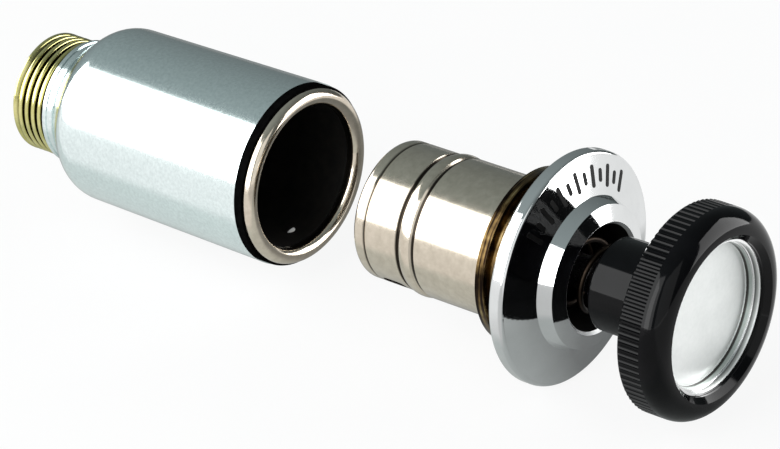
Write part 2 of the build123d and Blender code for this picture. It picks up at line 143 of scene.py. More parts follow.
def add_node(tree, kind, **values):
    """One node with its options and the defaults of its inputs set by name."""
    node = tree.nodes.new(kind)
    for key, value in values.items():
        if key in node.inputs:
            node.inputs[key].default_value = value
        else:
            setattr(node, key, value)
    return node


def math_node(tree, operation, first, second=None, third=None, clamp=False):
    """A Math node whose inputs are sockets or numbers; gives its output socket."""
    node = tree.nodes.new("ShaderNodeMath")
    node.operation = operation
    node.use_clamp = clamp
    for place_in, value in zip(node.inputs, (first, second, third)):
        if isinstance(value, (int, float)):
            place_in.default_value = value
        elif value is not None:
            tree.links.new(value, place_in)
    return node.outputs["Value"]


def object_position(tree, stretch=(1, 1, 1)):
    """Object coordinates in millimetres, stretched along the axes for streaks."""
    coordinates = tree.nodes.new("ShaderNodeTexCoord")
    mapping = tree.nodes.new("ShaderNodeMapping")
    mapping.inputs["Scale"].default_value = [factor / MM for factor in stretch]
    tree.links.new(coordinates.outputs["Object"], mapping.inputs["Vector"])
    return mapping.outputs["Vector"]


def split_position(tree):
    """The X, Y and Z of a point in millimetres, as three sockets."""
    node = tree.nodes.new("ShaderNodeSeparateXYZ")
    tree.links.new(object_position(tree), node.inputs["Vector"])
    return node.outputs["X"], node.outputs["Y"], node.outputs["Z"]


def find_node(tree, kind):
    """The first node of a kind in a tree."""
    return next(node for node in tree.nodes if node.type == kind)


# %% Node helpers: patterns and mixes
def noise(tree, position, scale, detail=4.0, roughness=0.6):
    """A noise texture; gives its value from 0 to 1."""
    node = add_node(tree, "ShaderNodeTexNoise", Scale=scale, Detail=detail, Roughness=roughness)
    tree.links.new(position, node.inputs["Vector"])
    return node.outputs["Fac"]


def ramp(tree, value, stops):
    """A colour ramp through (place, colour) stops."""
    node = tree.nodes.new("ShaderNodeValToRGB")
    elements = node.color_ramp.elements
    while len(elements) < len(stops):
        elements.new(0.5)
    for element, (position, colour) in zip(elements, stops):
        element.position = position
        element.color = (*colour, 1)
    tree.links.new(value, node.inputs["Fac"])
    return node.outputs["Color"]


def cloud_tints(tree, clouds, dark, light):
    """A ramp between two near tints over the middle of a noise."""
    return ramp(tree, clouds, [(0.3, dark), (0.7, light)])


def map_range(tree, value, start, end, low=0.0, high=1.0):
    """Maps start..end to low..high, and stays there beyond the ends."""
    node = add_node(tree, "ShaderNodeMapRange")
    for label, number in (("From Min", start), ("From Max", end), ("To Min", low), ("To Max", high)):
        node.inputs[label].default_value = number
    tree.links.new(value, node.inputs["Value"])
    return node.outputs["Result"]


def blend_colours(tree, share, first, second):
    """Goes from the first colour to the second; each is a socket or three numbers."""
    node = add_node(tree, "ShaderNodeMix", data_type="RGBA")
    tree.links.new(share, node.inputs["Factor"])
    colours_in = [socket for socket in node.inputs if socket.type == "RGBA"]
    for place_in, colour in zip(colours_in, (first, second)):
        if isinstance(colour, tuple):
            place_in.default_value = (*colour, 1)
        else:
            tree.links.new(colour, place_in)
    return next(socket for socket in node.outputs if socket.type == "RGBA")


def blend_shaders(tree, share, first, second):
    """Goes from the first shader to the second."""
    node = tree.nodes.new("ShaderNodeMixShader")
    for place_in, value in zip(node.inputs, (share, first, second)):
        tree.links.new(value, place_in)
    return node.outputs["Shader"]


def bump(tree, shader, height, distance_mm, strength=1.0):
    """Fine relief from a height, on a shader."""
    node = add_node(tree, "ShaderNodeBump", Strength=strength, Distance=distance_mm * MM)
    tree.links.new(height, node.inputs["Height"])
    tree.links.new(node.outputs["Normal"], shader.inputs["Normal"])


# %% Floor mesh
floor_gap = 0.1 * MM
floor_reach = 1.5
floor_level = rest_height - floor_gap
signs = [(-1, -1), (1, -1), (1, 1), (-1, 1)]
corners = [(x * floor_reach, y * floor_reach, floor_level) for x, y in signs]
floor_mesh = bpy.data.meshes.new("floor")
floor_mesh.from_pydata(corners, [], [(0, 1, 2, 3)])
floor = bpy.data.objects.new("floor", floor_mesh)
bpy.context.scene.collection.objects.link(floor)
print("floor at", round(floor_level / MM, 2), "mm")

# %% [markdown]
# ## The table in the metal
# To the camera the table is plain white. In the metal it shows painted light and shade, painted by place in
# millimetres:
# a ramp across the axis gives white, a grey painted shadow close to the object and dim painted shade, the
# stretch below the plug gets more painted shade, and well in front of the object all is white again. The
# Light Path node tells the two kinds of ray apart.

# %% Paint light and shade into the table's reflection
ramp_left_mm, ramp_right_mm = -40, 40
# painted light and shade seen in the metal: white, then a grey painted shadow beside the object, then dim
painted_light_and_shade_tints = [
    (0.18, (1.0, 1.0, 1.0)), (0.25, (0.67, 0.72, 0.71)), (0.42, (0.60, 0.64, 0.63)),
    (0.54, (0.24, 0.25, 0.25)), (0.86, (0.15, 0.16, 0.16)),
]
# more painted shade below the plug; well in front the table is white again, a painted pool of light
below_plug_mm, below_socket_mm, painted_shade_below_plug = -48, -28, 0.6
forward_x, forward_y = 0.6, -0.8
white_from_mm, white_by_mm = 60, 74

floor_material, tree, shader = new_material("white_table")
x, y, _ = split_position(tree)
painted_reflection = add_node(tree, "ShaderNodeVectorMath", operation="SCALE")
tree.links.new(ramp(tree, map_range(tree, x, ramp_left_mm, ramp_right_mm), painted_light_and_shade_tints), painted_reflection.inputs[0])
tree.links.new(map_range(tree, y, below_plug_mm, below_socket_mm, painted_shade_below_plug), painted_reflection.inputs["Scale"])
forward = math_node(tree, "ADD", math_node(tree, "MULTIPLY", x, forward_x),
                    math_node(tree, "MULTIPLY", y, forward_y))
paths = tree.nodes.new("ShaderNodeLightPath")
to_camera = paths.outputs["Is Camera Ray"]
white = math_node(tree, "MAXIMUM", to_camera, map_range(tree, forward, white_from_mm, white_by_mm))
glow = add_node(tree, "ShaderNodeEmission", Strength=1.0)
tree.links.new(blend_colours(tree, white, painted_reflection.outputs["Vector"], (1, 1, 1)), glow.inputs["Color"])
print("table painted with", len(painted_light_and_shade_tints), "tints")

# %% Floor material
glow_to_camera, glow_to_metal = 0.88, 0.8
table_grain_per_mm, table_roughness = 0.02, 0.8
grain = noise(tree, object_position(tree), table_grain_per_mm)
table_colour = cloud_tints(tree, grain, (0.61, 0.62, 0.62), (0.66, 0.665, 0.66))
tree.links.new(table_colour, shader.inputs["Base Color"])
shader.inputs["Roughness"].default_value = table_roughness
mirrored = math_node(
    tree, "ADD", paths.outputs["Is Glossy Ray"], paths.outputs["Is Transmission Ray"], clamp=True
)
seen = math_node(tree, "ADD", math_node(tree, "MULTIPLY", mirrored, glow_to_metal),
                 math_node(tree, "MULTIPLY", to_camera, glow_to_camera))
table = blend_shaders(tree, seen, shader.outputs["BSDF"], glow.outputs["Emission"])
tree.links.new(table, find_node(tree, "OUTPUT_MATERIAL").inputs["Surface"])
floor_mesh.materials.append(floor_material)
print("floor material", floor_material.name)

# %% World
room_dark, room_pale = (0.045, 0.05, 0.051), (0.36, 0.42, 0.425)
pale_side = Vector((-0.55, 0.45, 0.35)).normalized()
world = bpy.data.worlds.new("dim_room")
bpy.context.scene.world = world
world.use_nodes = True
tree = world.node_tree
coordinates = tree.nodes.new("ShaderNodeTexCoord")
towards = add_node(tree, "ShaderNodeVectorMath", operation="DOT_PRODUCT")
towards.inputs[1].default_value = pale_side
tree.links.new(coordinates.outputs["Generated"], towards.inputs[0])
room = ramp(tree, map_range(tree, towards.outputs["Value"], -1, 1), [(0.0, room_dark), (1.0, room_pale)])
tree.links.new(room, tree.nodes["Background"].inputs["Color"])
bpy.context.scene.view_settings.view_transform = "Standard"
print("room from", room_dark[1], "to", room_pale[1])


# %% A standing light
def standing_light(name, bearing, distance, size, watts):
    """A rectangular lamp that stands on the table and faces the object; bearing 0 is in front."""
    data = bpy.data.lights.new(name, "AREA")
    data.shape = "RECTANGLE"
    data.size, data.size_y = size
    data.energy = watts
    lamp = bpy.data.objects.new(name, data)
    outward = Vector((math.sin(math.radians(bearing)), -math.cos(math.radians(bearing)), 0))
    across = Vector((0, 0, 1)).cross(outward)
    turn = Matrix((across, outward.cross(across), outward)).transposed().to_4x4()
    middle_height = rest_height + size[1] / 2
    lamp.matrix_world = Matrix.Translation(outward * distance + Vector((0, 0, middle_height))) @ turn
    lamp.visible_camera = False
    bpy.context.scene.collection.objects.link(lamp)
    return lamp


# %% Place the lamps
left_softbox = standing_light("left_softbox", bearing=-127, distance=0.55, size=(1.31, 0.72), watts=12.2)
front_softbox = standing_light("front_softbox", bearing=44, distance=0.55, size=(0.44, 0.44), watts=3.1)
left_panel = standing_light("left_panel", bearing=-80, distance=0.55, size=(0.36, 0.70), watts=2.4)
near_card = standing_light("near_card", bearing=-28, distance=0.50, size=(0.40, 0.50), watts=0.55)
print("studio set with", left_softbox.name, left_panel.name, front_softbox.name, near_card.name)

# %% [markdown]
# ## Plated metals
# Zinc, nickel and chrome differ in tint and in how sharp their reflections are. Each gets one
# metallic shader. Faint drawing lines run round the axis, and cloudy noise varies the gloss,
# as on real plating that was never polished by hand. The nickel of the barrel and of the rim is a
# little duller and grainier than that of the small parts, so it has a finish of its own.

# %% A plated metal
smears_per_cloud = 2.3
grain_per_mm = 1.6
turning_stretch = (0.05, 9, 0.05)


def plated_metal(name, dark, light, roughness, cloud_mm, line_depth_um, grain_share=1.0):
    """A metallic finish: two near tints in clouds, uneven gloss, fine turning lines and grain."""
    material, tree, shader = new_material(name)
    position = object_position(tree)
    clouds = noise(tree, position, 1 / cloud_mm)
    tree.links.new(cloud_tints(tree, clouds, dark, light), shader.inputs["Base Color"])
    shader.inputs["Metallic"].default_value = 1.0
    smears = noise(tree, position, smears_per_cloud / cloud_mm, detail=6)
    tree.links.new(map_range(tree, smears, 0, 1, *roughness), shader.inputs["Roughness"])
    lines = noise(tree, object_position(tree, turning_stretch), 1.0, detail=2)
    grain = noise(tree, position, grain_per_mm, detail=5)
    relief = math_node(tree, "ADD", lines, math_node(tree, "MULTIPLY", grain, grain_share))
    bump(tree, shader, relief, line_depth_um * MM, strength=0.5)
    return material


# %% Zinc, nickel, chrome and steel
zinc = plated_metal("bright_zinc", (0.70, 0.78, 0.775), (0.84, 0.92, 0.915),
                    roughness=(0.09, 0.16), cloud_mm=0.5, line_depth_um=1.0, grain_share=3.0)
nickel = plated_metal("warm_nickel", (0.61, 0.555, 0.465), (0.72, 0.66, 0.56),
                      roughness=(0.06, 0.12), cloud_mm=5, line_depth_um=0.4)
satin = plated_metal("satin_nickel", (0.58, 0.51, 0.415), (0.69, 0.61, 0.505),
                     roughness=(0.10, 0.19), cloud_mm=1.2, line_depth_um=0.6, grain_share=3.0)
chrome = plated_metal("polished_chrome", (0.68, 0.69, 0.69), (0.75, 0.76, 0.76),
                      roughness=(0.03, 0.07), cloud_mm=8, line_depth_um=0.15)
steel = plated_metal("spring_steel", (0.30, 0.30, 0.31), (0.42, 0.42, 0.43),
                     roughness=(0.2, 0.35), cloud_mm=3, line_depth_um=0.8)
print("plated metals ready")

# %% [markdown]
# ## Painted shade in grooves
# The rolled grooves of the barrel and the valleys of the thread get painted shade, so they read as
# black lines. The distance from the axis tells how deep a point lies, and a ramp over that
# distance darkens the metal's own tint towards a shade tint.


# %% Distance from the axis, and a darkened tint
def axis_distance(tree):
    """Distance from the Y axis in millimetres, and the place along it."""
    x, y, z = split_position(tree)
    squares = math_node(tree, "ADD", math_node(tree, "POWER", x, 2), math_node(tree, "POWER", z, 2))
    return math_node(tree, "SQRT", squares), y


def finish_copy(metal, name):
    """A copy of a metal under a new name, with its tree and its shader."""
    material = metal.copy()
    material.name = name
    return material, material.node_tree, find_node(material.node_tree, "BSDF_PRINCIPLED")


def with_groove_shade(metal, name, shaded_mm, unshaded_mm, shade_tint, before_mm=1000):
    """A copy of a metal whose tint goes to a painted shade between two radii, in front of a place on Y."""
    material, tree, shader = finish_copy(metal, name)
    tint = shader.inputs["Base Color"].links[0].from_socket
    radius, along = axis_distance(tree)
    deep = map_range(tree, radius, unshaded_mm, shaded_mm)
    share = math_node(tree, "MULTIPLY", deep, math_node(tree, "LESS_THAN", along, before_mm))
    tree.links.new(blend_colours(tree, share, tint, shade_tint), shader.inputs["Base Color"])
    return material


# %% Barrel metal
groove_bottom_mm, heel_mm, seam_behind_mm = 9.96, 10.07, -19.0
# painted shade at the bottoms of the barrel's grooves
barrel_groove_shade = (0.03, 0.024, 0.018)
barrel_metal = with_groove_shade(satin, "grooved_nickel", groove_bottom_mm, heel_mm, barrel_groove_shade, seam_behind_mm)
print("barrel metal ready")

# %% [markdown]
# ## Brass, bronze and the hot parts
# The tail is plain brass that has gone a little olive. The clip and the coil have been hot many
# times, so their tints wander from straw to brown.

# %% Bare metals
brass = plated_metal("olive_brass", (0.53, 0.49, 0.17), (0.74, 0.69, 0.33),
                     roughness=(0.10, 0.2), cloud_mm=2.5, line_depth_um=0.8)
bronze = plated_metal("dark_bronze_wire", (0.012, 0.009, 0.007), (0.035, 0.025, 0.018),
                      roughness=(0.3, 0.45), cloud_mm=2, line_depth_um=0.5)
bimetal = plated_metal("heat_tinted_strip", (0.34, 0.25, 0.15), (0.60, 0.52, 0.40),
                       roughness=(0.25, 0.4), cloud_mm=3, line_depth_um=0.5)
ribbon = plated_metal("oxidised_ribbon", (0.16, 0.14, 0.13), (0.30, 0.27, 0.24),
                      roughness=(0.35, 0.55), cloud_mm=1.5, line_depth_um=1.0)
tail_r_mm = radius_of("threaded_tail") / MM
# painted shade in the valleys of the thread
thread_shaded_mm, thread_unshaded_mm = tail_r_mm - 0.52, tail_r_mm - 0.16
thread_valley_shade = (0.045, 0.035, 0.012)
thread_brass = with_groove_shade(brass, "thread_with_valley_shade", thread_shaded_mm, thread_unshaded_mm, thread_valley_shade)
print("bare metals ready")

# %% [markdown]
# ## Dark bores
# The rim of the socket is satin nickel, while the drawn cup behind it shows no light at all in the
# photograph, so it gets
# painted shade: it is black inside. The bore of the bezel gets the same painted shade. One helper does both:
# it copies a metal and lets the radius and the depth of each point decide where the plate ends and the
# painted shade begins. In the well, pips hold the plug. The front edge of the lowest one gets a painted
# glint, a pale patch that stands in for a highlight.
# The edge of the bezel's bore is duller than the rest of it, so it shows no sharp spots of light.


# %% Painted shade and painted glint
def cloudy_shader(tree, clouds_per_mm, dark, light, **values):
    """A second shader in a tree, with two near tints in clouds; gives its output."""
    shader = add_node(tree, "ShaderNodeBsdfPrincipled", **values)
    clouds = noise(tree, object_position(tree), clouds_per_mm)
    tree.links.new(cloud_tints(tree, clouds, dark, light), shader.inputs["Base Color"])
    return shader.outputs["BSDF"]


def painted_shade_black(tree):
    """Painted shade: dry black, with hardly any gloss."""
    return cloudy_shader(tree, 0.6, (0.003, 0.003, 0.003), (0.008, 0.007, 0.006),
                         **{"Roughness": 0.55, "Specular IOR Level": 0.15})


def painted_glint_plate(tree):
    """Painted glint: pale plate with fine scratches."""
    return cloudy_shader(tree, 3.0, (0.82, 0.81, 0.79), (0.96, 0.95, 0.93), Roughness=0.5, Metallic=0.3)


# %% A metal with painted shade in its bore
def with_bore_shade(metal, name, inside_mm, beyond_mm, fade_mm, pips=None):
    """A copy of a metal with painted shade, black within a radius and beyond a depth; pips are (radius,
    depth, reach, top) and get a painted glint.
    """
    material, tree, shader = finish_copy(metal, name)
    radius, along = axis_distance(tree)
    inside = math_node(tree, "LESS_THAN", radius, inside_mm)
    depth = math_node(tree, "SUBTRACT", along, beyond_mm)
    share = math_node(tree, "MULTIPLY", inside, math_node(tree, "DIVIDE", depth, fade_mm, clamp=True))
    surface = blend_shaders(tree, share, shader.outputs["BSDF"], painted_shade_black(tree))
    # painted glint on the lowest pip: a pale patch that stands in for a highlight
    if pips:
        pip_r_mm, pip_y_mm, reach_mm, top_mm = pips
        proud = math_node(tree, "LESS_THAN", radius, pip_r_mm)
        near = math_node(tree, "COMPARE", along, pip_y_mm, reach_mm)
        low = math_node(tree, "LESS_THAN", split_position(tree)[2], top_mm)
        painted_glint = math_node(tree, "MULTIPLY", math_node(tree, "MULTIPLY", proud, near), low)
        surface = blend_shaders(tree, painted_glint, surface, painted_glint_plate(tree))
    tree.links.new(surface, find_node(tree, "OUTPUT_MATERIAL").inputs["Surface"])
    return material


def dull_near_axis(material, within_mm, added):
    """Adds to the roughness of a metal inside a radius."""
    tree = material.node_tree
    shader = find_node(tree, "BSDF_PRINCIPLED")
    gloss = shader.inputs["Roughness"].links[0].from_socket
    near_axis = math_node(tree, "LESS_THAN", axis_distance(tree)[0], within_mm)
    dulled = math_node(tree, "ADD", gloss, math_node(tree, "MULTIPLY", near_axis, added))
    tree.links.new(dulled, shader.inputs["Roughness"])


# %% Rim and bezel
bore_r_mm, wall_mm = 10.7, 0.7
# painted shade inside the well and the bezel's bore starts at this depth and fades in
shade_from_mm, shade_fade_mm = 0.1, 0.5
pip_depth_mm, pip_reach_mm, pip_proud_mm = 3.3, 0.6, 0.03
# the lowest pip, which gets a painted glint
glinting_pip = (bore_r_mm - pip_proud_mm, pip_depth_mm, pip_reach_mm, -bore_r_mm / 2)
well_metal = with_bore_shade(satin, "nickel_rim_shaded_well", bore_r_mm + wall_mm / 2,
                       shade_from_mm, shade_fade_mm, glinting_pip)

bezel_bore_mm, bezel_bevel_mm = 7.7, 0.4
bore_slack_mm, bevel_slack_mm, bevel_fade_mm = 0.05, 0.02, 0.1
bevel_dulling = 0.35
bevel_ends_mm = axis_ends["bezel"][0] / MM + bezel_bevel_mm
bezel_metal = with_bore_shade(chrome, "chrome_bezel_shaded_bore", bezel_bore_mm + bore_slack_mm,
                        bevel_ends_mm, bevel_fade_mm)
dull_near_axis(bezel_metal, bezel_bore_mm + bezel_bevel_mm + bevel_slack_mm, bevel_dulling)
print("dark bores ready")

# %% [markdown]
# ## Tinted collar
# The collar behind the bezel is unplated spring brass, gone brown in rings. A noise that is stretched
# round the axis gives the rings, and a wider one breaks them up, so no two places are alike.

# %% Streaked brass
ring_stretch, patch_stretch = (0.12, 2.2, 0.12), (0.35, 0.1, 0.35)
collar_tints = [(0.40, (0.010, 0.006, 0.004)), (0.56, (0.115, 0.073, 0.028)), (0.75, (0.38, 0.30, 0.145))]
collar_roughness, patch_lift, ring_depth_mm = (0.14, 0.3), 0.5, 0.004

collar_metal, tree, shader = new_material("tinted_collar")
rings = noise(tree, object_position(tree, ring_stretch), 1.0, detail=3)
patches = noise(tree, object_position(tree, patch_stretch), 1.0, detail=2)
tone = math_node(tree, "MULTIPLY", rings, math_node(tree, "ADD", patches, patch_lift))
tree.links.new(ramp(tree, tone, collar_tints), shader.inputs["Base Color"])
shader.inputs["Metallic"].default_value = 1.0
tree.links.new(map_range(tree, patches, 0, 1, *collar_roughness), shader.inputs["Roughness"])
bump(tree, shader, rings, ring_depth_mm, strength=0.4)
print("collar metal ready")

# %% [markdown]
# ## Moulded and pressed insulators
# The knob is a glossy black moulding that shows the lamp as a clear grey patch. The gasket is
# dull black, the bush and the rear disc are brown pressed board, and the mica is a pale flake.

# %% A non-metal finish
pits_per_cloud = 3


def plain_stuff(name, dark, light, roughness, cloud_mm, bump_um, specular=0.5):
    """A non-metal: two near tints in clouds, uneven gloss and a fine uneven surface."""
    material, tree, shader = new_material(name)
    position = object_position(tree)
    clouds = noise(tree, position, 1 / cloud_mm)
    tree.links.new(cloud_tints(tree, clouds, dark, light), shader.inputs["Base Color"])
    tree.links.new(map_range(tree, clouds, 0, 1, *roughness), shader.inputs["Roughness"])
    shader.inputs["Specular IOR Level"].default_value = specular
    pits = noise(tree, position, pits_per_cloud / cloud_mm, detail=6)
    bump(tree, shader, pits, bump_um * MM, strength=0.6)
    return material


# %% Moulding, fibre, board and mica
phenolic = plain_stuff("black_phenolic", (0.0008, 0.0008, 0.001), (0.0018, 0.0018, 0.0022),
                       roughness=(0.05, 0.10), cloud_mm=4, bump_um=0.4, specular=0.14)
fibre = plain_stuff("black_fibre", (0.001, 0.001, 0.001), (0.0025, 0.0025, 0.0025),
                    roughness=(0.6, 0.8), cloud_mm=1, bump_um=8, specular=0.0)
board = plain_stuff("brown_board", (0.05, 0.025, 0.013), (0.11, 0.06, 0.032),
                    roughness=(0.45, 0.65), cloud_mm=1.5, bump_um=5)
mica = plain_stuff("mica_flake", (0.42, 0.36, 0.25), (0.62, 0.55, 0.42),
                   roughness=(0.25, 0.4), cloud_mm=2, bump_um=3)
print("insulators ready")

# %% [markdown]
# ## Dish of the knob
# The bright disc in the knob is a satin sheet with a polished, stepped wall. Its floor shows the white
# table as an even glow, with faint clouds where it was wiped, so a wide and a fine noise vary its
# tint. The steps of the wall get painted reflections, dark and bright rings in the base colour: beyond the
# floor's radius a ramp along the axis takes over, and the surface is smoother there.

# %% Tints of the dish
dish_floor_r_mm, dish_floor_y_mm = 10.1, -69.95
dish_mouth_y_mm = axis_ends["knob_dish"][0] / MM
wall_slack_mm = 0.02
wide_per_mm, fine_per_mm, wide_share = 0.12, 1.4, 0.7
# painted reflections of the wall's steps: dark and bright rings along the axis
painted_wall_reflections = [
    (0.02, (0.05, 0.045, 0.045)), (0.22, (0.07, 0.07, 0.065)), (0.28, (0.44, 0.48, 0.46)),
    (0.46, (0.50, 0.54, 0.52)), (0.54, (0.95, 0.95, 0.95)), (0.62, (0.10, 0.10, 0.10)),
    (0.84, (0.55, 0.56, 0.55)), (0.92, (0.95, 0.95, 0.95)),
]

dish_metal, tree, shader = new_material("satin_dish")
position = object_position(tree)
wide = math_node(tree, "MULTIPLY", noise(tree, position, wide_per_mm), wide_share)
fine = math_node(tree, "MULTIPLY", noise(tree, position, fine_per_mm), 1 - wide_share)
clouds = math_node(tree, "ADD", wide, fine)
floor_tint = ramp(tree, clouds, [(0.35, (0.70, 0.72, 0.71)), (0.65, (0.80, 0.815, 0.805))])
radius, along = axis_distance(tree)
on_wall = math_node(tree, "GREATER_THAN", radius, dish_floor_r_mm + wall_slack_mm)
painted_wall_tint = ramp(tree, map_range(tree, along, dish_floor_y_mm, dish_mouth_y_mm), painted_wall_reflections)
tree.links.new(blend_colours(tree, on_wall, floor_tint, painted_wall_tint), shader.inputs["Base Color"])
print("dish wall has", len(painted_wall_reflections), "ring tints")

# %% Gloss of the dish
floor_roughness, wall_polish = (0.46, 0.56), 0.34
wipe_stretch, wipes_per_mm, wipe_depth_mm = (1, 1, 0.35), 0.5, 0.003
wiped = noise(tree, object_position(tree, wipe_stretch), wipes_per_mm, detail=6)
dish_gloss = math_node(tree, "SUBTRACT", map_range(tree, wiped, 0, 1, *floor_roughness),
                       math_node(tree, "MULTIPLY", on_wall, wall_polish))
tree.links.new(dish_gloss, shader.inputs["Roughness"])
shader.inputs["Metallic"].default_value = 1.0
bump(tree, shader, wiped, wipe_depth_mm, strength=0.4)
print("dish metal ready")

# %% [markdown]
# ## Finishes on the solids
# The solids already have the right shapes, down to the knob's grooves and the barrel's. So each
# node keeps its own mesh and takes one finish.

# %% Assign the finishes
finishes = {
    "socket_well": well_metal, "panel_gasket": fibre, "clamp_sleeve": zinc, "threaded_tail": brass,
    "clip_insulator": mica, "bimetal_clip": bimetal, "rear_insulator": board, "centre_stud": brass,
    "lock_washer": steel, "terminal_nut": zinc, "plug_barrel": barrel_metal, "retaining_collar": collar_metal,
    "bezel": bezel_metal, "guide_bush": board, "knob": phenolic, "knob_dish": dish_metal,
    "plunger_shaft": steel, "stop_ring": steel, "return_spring": bronze, "element_cup": nickel,
    "element_insulator": mica, "heating_coil": ribbon, "coil_rivet": nickel,
}
for name, material in finishes.items():
    mesh = nodes[name].data
    mesh.materials.clear()
    mesh.materials.append(material)
print("finished", len(finishes), "nodes")

# %% [markdown]
# ## Geometry Nodes: helper
# A tree is made in code with named inputs. Its result is then turned into a plain mesh, so that
# the finished piece has no live modifier.


# %% Build a tree and bake it
def new_tree(name, inputs):
    """A geometry tree with float or integer inputs; gives the tree, its in and out nodes."""
    tree = bpy.data.node_groups.new(name, "GeometryNodeTree")
    for label, default in inputs.items():
        kind = "NodeSocketInt" if isinstance(default, int) else "NodeSocketFloat"
        tree.interface.new_socket(label, in_out="INPUT", socket_type=kind).default_value = default
    tree.interface.new_socket("Geometry", in_out="OUTPUT", socket_type="NodeSocketGeometry")
    return tree, tree.nodes.new("NodeGroupInput"), tree.nodes.new("NodeGroupOutput")


def finish_tree(tree, geometry, group_output, material):
    """Realize Instances and Set Material at the end of a tree."""
    realize = tree.nodes.new("GeometryNodeRealizeInstances")
    paint = tree.nodes.new("GeometryNodeSetMaterial")
    paint.inputs["Material"].default_value = material
    tree.links.new(geometry, realize.inputs["Geometry"])
    tree.links.new(realize.outputs["Geometry"], paint.inputs["Geometry"])
    tree.links.new(paint.outputs["Geometry"], group_output.inputs["Geometry"])


def bake_tree(name, tree, values, smooth=True):
    """Runs a tree on an empty mesh and gives the result as a plain object at the origin."""
    holder = bpy.data.objects.new(name + "_holder", bpy.data.meshes.new(name + "_holder"))
    bpy.context.scene.collection.objects.link(holder)
    modifier = holder.modifiers.new("tree", "NODES")
    modifier.node_group = tree
    for item in tree.interface.items_tree:
        if item.in_out == "INPUT" and item.name in values:
            modifier[item.identifier] = values[item.name]
    graph = bpy.context.evaluated_depsgraph_get()
    mesh = bpy.data.meshes.new_from_object(holder.evaluated_get(graph))
    bpy.data.objects.remove(holder)
    mesh.name = name
    piece = bpy.data.objects.new(name, mesh)
    bpy.context.scene.collection.objects.link(piece)
    for polygon in mesh.polygons:
        polygon.use_smooth = smooth
    print(name, len(mesh.polygons), "faces")
    return piece


# %% [markdown]
# ## Thread of the tail
# The tail carries a rolled thread of five ridges, too fine for the solids. A helix with a round
# section makes the ridges, and a turned core under it closes the valleys. A chamfered lip at the
# end of the core takes up the last half turn. All together keep the tail's outer size and its ends.


# %% Helix tree
def vector_of(tree, **parts):
    """A vector from sockets for X, Y or Z; what isn't given is 0."""
    node = tree.nodes.new("ShaderNodeCombineXYZ")
    for axis, value in parts.items():
        tree.links.new(value, node.inputs[axis])
    return node.outputs["Vector"]


def helix_tree(name, material, section_sides=12):
    """A round wire swept along a helix about Y: used for the thread and for the spring."""
    tree, given, made = new_tree(
        name, {"Radius": 0.009, "Turns": 5.0, "Height": 0.005, "Wire": 0.0004, "Start": 0.0, "Steps": 64}
    )
    spiral = tree.nodes.new("GeometryNodeCurveSpiral")
    for label, target in (("Radius", "Start Radius"), ("Radius", "End Radius"), ("Turns", "Rotations"),
                          ("Height", "Height"), ("Steps", "Resolution")):
        tree.links.new(given.outputs[label], spiral.inputs[target])
    section = tree.nodes.new("GeometryNodeCurvePrimitiveCircle")
    section.inputs["Resolution"].default_value = section_sides
    tree.links.new(given.outputs["Wire"], section.inputs["Radius"])
    sweep = tree.nodes.new("GeometryNodeCurveToMesh")
    sweep.inputs["Fill Caps"].default_value = True
    tree.links.new(spiral.outputs["Curve"], sweep.inputs["Curve"])
    tree.links.new(section.outputs["Curve"], sweep.inputs["Profile Curve"])
    lay = tree.nodes.new("GeometryNodeTransform")
    lay.inputs["Rotation"].default_value = (-math.pi / 2, 0, 0)
    tree.links.new(sweep.outputs["Mesh"], lay.inputs["Geometry"])
    tree.links.new(vector_of(tree, Y=given.outputs["Start"]), lay.inputs["Translation"])
    finish_tree(tree, lay.outputs["Geometry"], made, material)
    return tree


# %% Turned meshes
def turned(name, outline_mm, material, sides=128):
    """A closed outline of (radius, y) in millimetres, turned about the Y axis."""
    mesh = bpy.data.meshes.new(name)
    count = len(outline_mm)
    points = []
    for side in range(sides):
        angle = 2 * math.pi * side / sides
        for r, y in outline_mm:
            points.append((r * MM * math.cos(angle), y * MM, r * MM * math.sin(angle)))
    faces = []
    for side in range(sides):
        here = side * count
        there = (side + 1) % sides * count
        for step in range(count):
            onward = (step + 1) % count
            faces.append((here + step, here + onward, there + onward, there + step))
    mesh.from_pydata(points, [], faces)
    mesh.materials.append(material)
    shell = bmesh.new()
    shell.from_mesh(mesh)
    bmesh.ops.recalc_face_normals(shell, faces=shell.faces)
    shell.to_mesh(mesh)
    shell.free()
    piece = bpy.data.objects.new(name, mesh)
    bpy.context.scene.collection.objects.link(piece)
    print(name, len(mesh.polygons), "faces")
    return piece


# %% Make the threaded tail
thread_pitch_mm = 1.25
ridge_mm = 0.38
valley_mm = 0.62
lip_mm = 0.5
tail_wall_mm = 1.4
tail_web_mm = 0.9
web_hole_mm = 3.1
pocket_depth_mm = 3.0
pocket_step_mm = 0.8
steps_per_turn = 72

